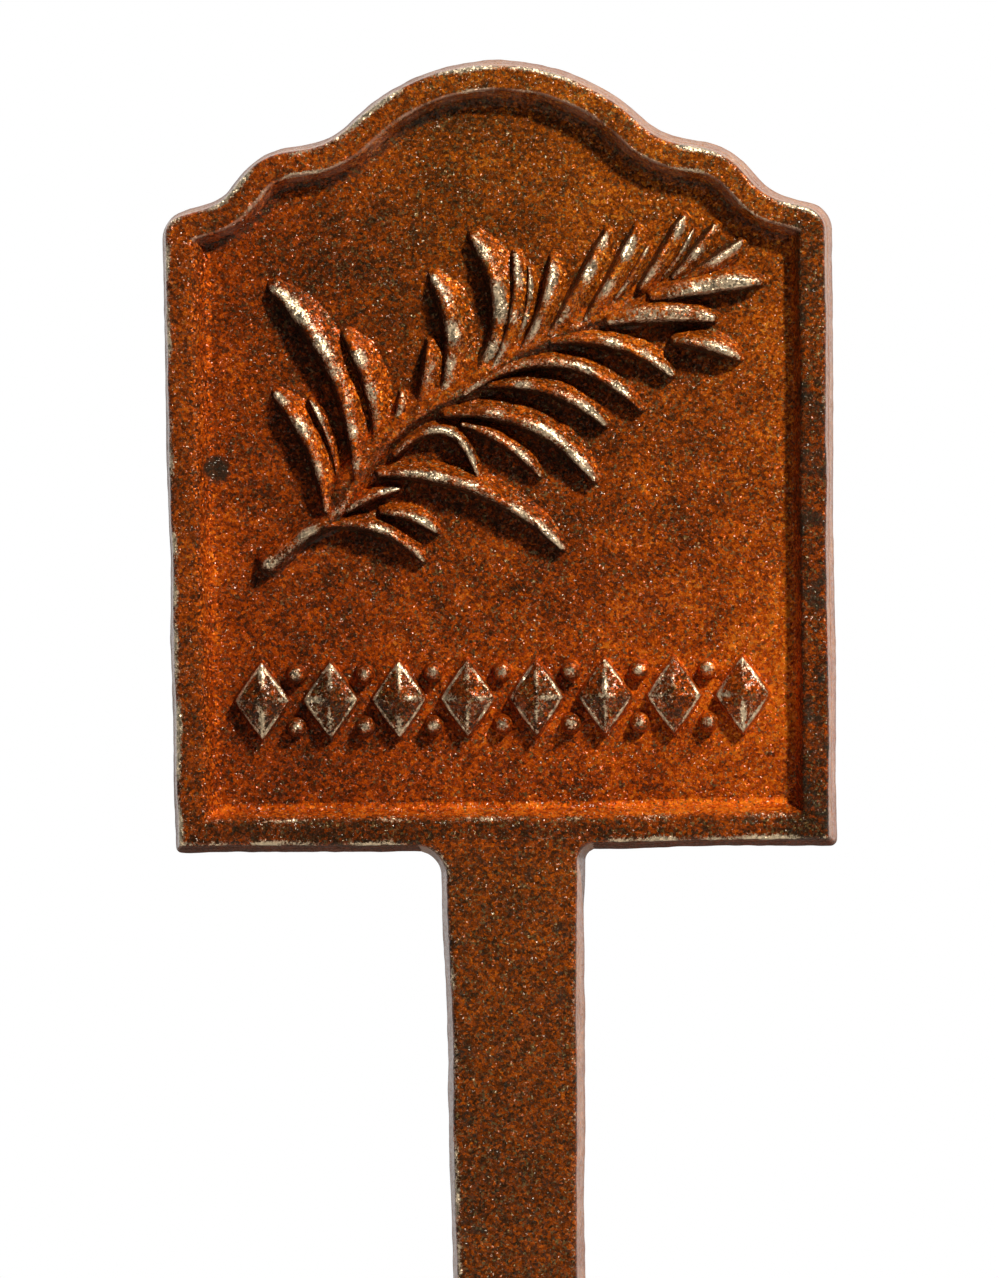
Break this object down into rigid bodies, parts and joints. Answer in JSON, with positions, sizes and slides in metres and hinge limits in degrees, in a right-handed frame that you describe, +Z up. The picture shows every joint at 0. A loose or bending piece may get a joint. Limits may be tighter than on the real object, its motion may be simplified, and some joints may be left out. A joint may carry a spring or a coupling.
{
  "type": "plant label stake",
  "caption": "Rusted cast-iron garden marker: scalloped head with a raised rim, a herb sprig and an ornament band in relief, on a flat tapered stake for pushing into soil.",
  "frame": {"origin": "on the stake's centre line at soil level, midway through its thickness", "axes": "+Z up along the stake towards the head, -Y out of the decorated face, +X to the viewer's right"},
  "size_m": [0.0702, 0.006, 0.2498],
  "materials": {
    "rusted_iron": "sand-cast, rusted orange-brown and sealed, worn bright on the crests"
  },
  "bodies": {
    "root": {"beads": "rusted_iron", "leaf_01": "rusted_iron", "leaf_02": "rusted_iron", "leaf_03": "rusted_iron", "leaf_04": "rusted_iron", "leaf_05": "rusted_iron", "leaf_06": "rusted_iron", "leaf_07": "rusted_iron", "leaf_08": "rusted_iron", "leaf_09": "rusted_iron", "leaf_10": "rusted_iron", "leaf_11": "rusted_iron", "leaf_12": "rusted_iron", "leaf_13": "rusted_iron", "leaf_14": "rusted_iron", "leaf_15": "rusted_iron", "leaf_16": "rusted_iron", "leaf_17": "rusted_iron", "leaf_18": "rusted_iron", "leaf_19": "rusted_iron", "leaf_20": "rusted_iron", "leaf_21": "rusted_iron", "leaf_22": "rusted_iron", "leaf_23": "rusted_iron", "leaf_24": "rusted_iron", "leaf_25": "rusted_iron", "leaf_26": "rusted_iron", "leaf_27": "rusted_iron", "leaf_28": "rusted_iron", "leaf_29": "rusted_iron", "leaf_30": "rusted_iron", "leaf_31": "rusted_iron", "lozenge_1": "rusted_iron", "lozenge_2": "rusted_iron", "lozenge_3": "rusted_iron", "lozenge_4": "rusted_iron", "lozenge_5": "rusted_iron", "lozenge_6": "rusted_iron", "lozenge_7": "rusted_iron", "lozenge_8": "rusted_iron", "panel": "rusted_iron", "rim": "rusted_iron", "sprig_stem": "rusted_iron", "stake": "rusted_iron"}
  },
  "joints": []
}
